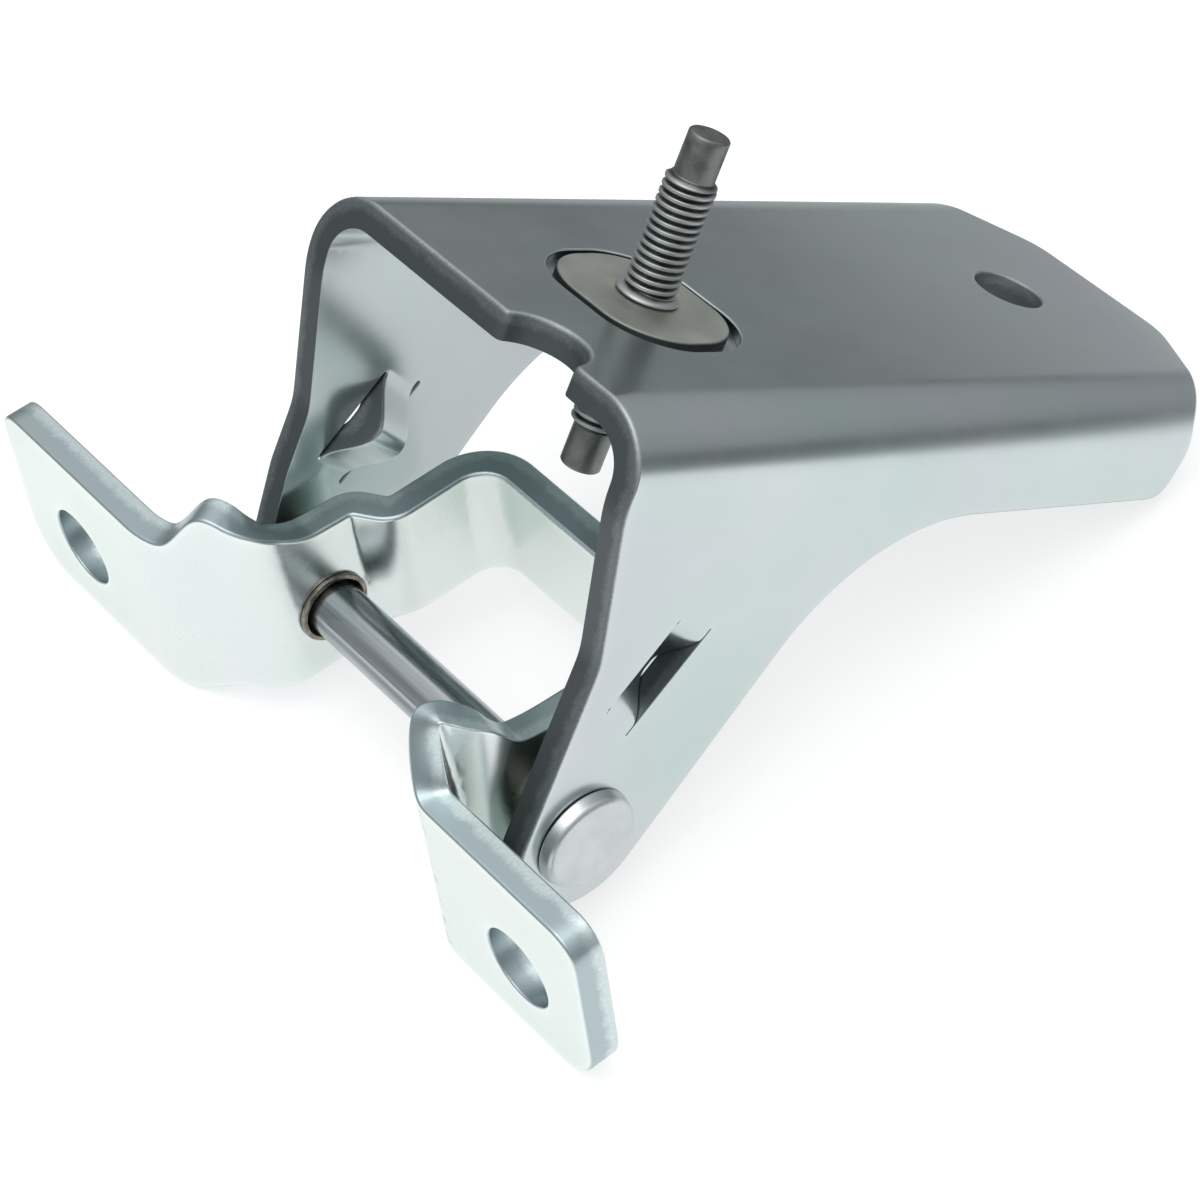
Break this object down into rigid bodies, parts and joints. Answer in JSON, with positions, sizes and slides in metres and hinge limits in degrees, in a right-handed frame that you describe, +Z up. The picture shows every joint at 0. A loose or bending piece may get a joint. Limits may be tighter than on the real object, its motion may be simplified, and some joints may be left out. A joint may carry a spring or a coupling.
{
  "type": "car door hinge",
  "caption": "Stamped steel car door hinge: channel-shaped door leaf with a mounting stud, turning on a headed pin between the arms of a folded pillar strap.",
  "frame": {"origin": "on the surface that the hinge stands on, under the middle of its box", "axes": "+X from the pillar towards the free end of the door leaf, Y along the hinge pin, +Z up"},
  "size_m": [0.1558, 0.1428, 0.0895],
  "materials": {
    "pillar_strap": "bright zinc plated",
    "left_bush": "bronze bearing metal",
    "right_bush": "bronze bearing metal",
    "door_leaf": "bright zinc plated",
    "hinge_pin": "polished",
    "mounting_stud": "satin",
    "stud_plate": "matt"
  },
  "bodies": {
    "pillar_side": {"pillar_strap": "pillar_strap", "left_bush": "left_bush", "right_bush": "right_bush"},
    "door_side": {"door_leaf": "door_leaf", "hinge_pin": "hinge_pin", "mounting_stud": "mounting_stud", "stud_plate": "stud_plate"}
  },
  "joints": [
    {"name": "door_swing", "type": "hinge", "parent": "pillar_side", "child": "door_side", "pos_m": [-0.05815, -0.01015, 0.0175], "axis": [0, 1, 0], "range_deg": [-27, 43]}
  ]
}
